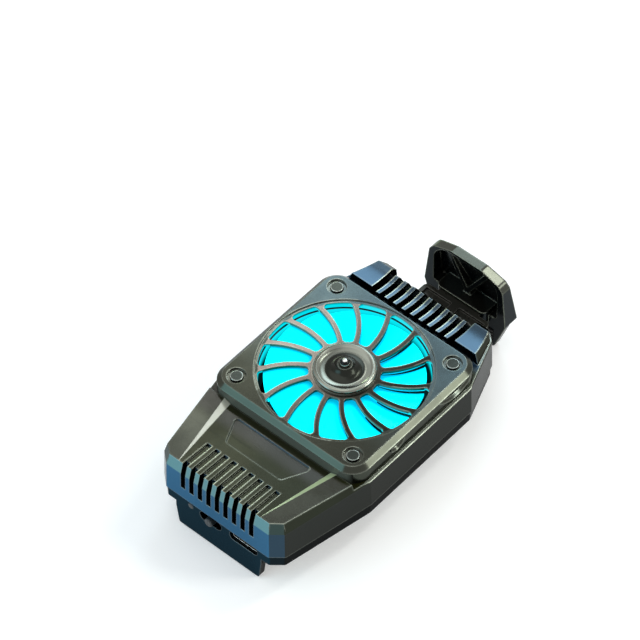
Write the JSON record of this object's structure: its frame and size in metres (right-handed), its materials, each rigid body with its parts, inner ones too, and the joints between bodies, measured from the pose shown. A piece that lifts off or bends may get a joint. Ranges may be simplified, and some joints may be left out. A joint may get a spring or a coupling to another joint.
{
  "type": "phone cooling fan",
  "caption": "Clip-on cooling fan for the back of a phone: spring clamp jaw, swirl grille over a lit rotor, exhaust ribs, slide switch and charging socket.",
  "frame": {"origin": "middle of the cooling face that rests on the phone's back, on the fan's axis", "axes": "+Z away from the phone along the fan's axis, +X across the phone towards the sliding jaw, +Y to the left when facing +X, +X is the longest extent, +Z the shortest"},
  "size_m": [0.085, 0.0426, 0.0256],
  "materials": {
    "shell_plastic": "semi-gloss olive grey moulded plastic",
    "jaw_plastic": "semi-gloss near-black moulded plastic",
    "dark_plastic": "matt black moulded plastic",
    "knob_plastic": "satin dark grey plastic",
    "blade_plastic": "clear cyan-lit plastic",
    "hub_metal": "satin lacquered gunmetal",
    "polished_pin": "polished",
    "screw_steel": "dark plated steel",
    "spring_steel": "bright spring steel",
    "arm_steel": "black coated steel",
    "socket_steel": "nickel-plated steel",
    "motor_iron": "laminated iron",
    "bush_brass": "sintered bronze",
    "sink_aluminium": "bead-blasted aluminium",
    "soft_rubber": "matt black silicone",
    "board_green": "green laminate",
    "cell_wrap": "grey foil pouch",
    "lamp_body": "clear epoxy",
    "lens_clear": "clear"
  },
  "bodies": {
    "housing": {"upper_shell": "shell_plastic", "lower_shell": "shell_plastic", "fan_cover": "shell_plastic", "hub_cap": "hub_metal", "hub_pin": "polished_pin", "cover_screws": "screw_steel", "housing_screws": "screw_steel", "fan_frame": "dark_plastic", "fan_lamps": "lamp_body", "motor_board": "board_green", "motor_stator": "motor_iron", "shaft_bush": "bush_brass", "slide_cover": "dark_plastic", "clamp_springs": "spring_steel", "heat_sink": "sink_aluminium", "contact_pad": "soft_rubber", "circuit_board": "board_green", "battery_cell": "cell_wrap", "usb_socket": "socket_steel", "usb_tongue": "dark_plastic", "switch_body": "dark_plastic", "indicator_lens": "lens_clear", "indicator_led": "lamp_body", "fixed_jaw_pad": "soft_rubber"},
    "fan": {"fan_rotor": "blade_plastic", "rotor_shaft": "screw_steel", "magnet_ring": "motor_iron"},
    "clamp": {"clamp_arm": "arm_steel", "clamp_jaw": "jaw_plastic", "jaw_pad": "soft_rubber", "jaw_pins": "screw_steel"},
    "switch": {"switch_knob": "knob_plastic"}
  },
  "joints": [
    {"name": "clamp_slide", "type": "slide", "parent": "housing", "child": "clamp", "axis": [1, 0, 0], "range_m": [-0.007, 0.01], "stiffness_N_per_m": 250, "springref_m": -0.012, "deforming": ["clamp_springs"]},
    {"name": "fan_spin", "type": "hinge", "parent": "housing", "child": "fan", "pos_m": [0, 0, 0.0106], "axis": [0, 0, 1], "continuous": true},
    {"name": "switch_slide", "type": "slide", "parent": "housing", "child": "switch", "axis": [0, 1, 0], "range_m": [-0.0012, 0.0012]}
  ]
}
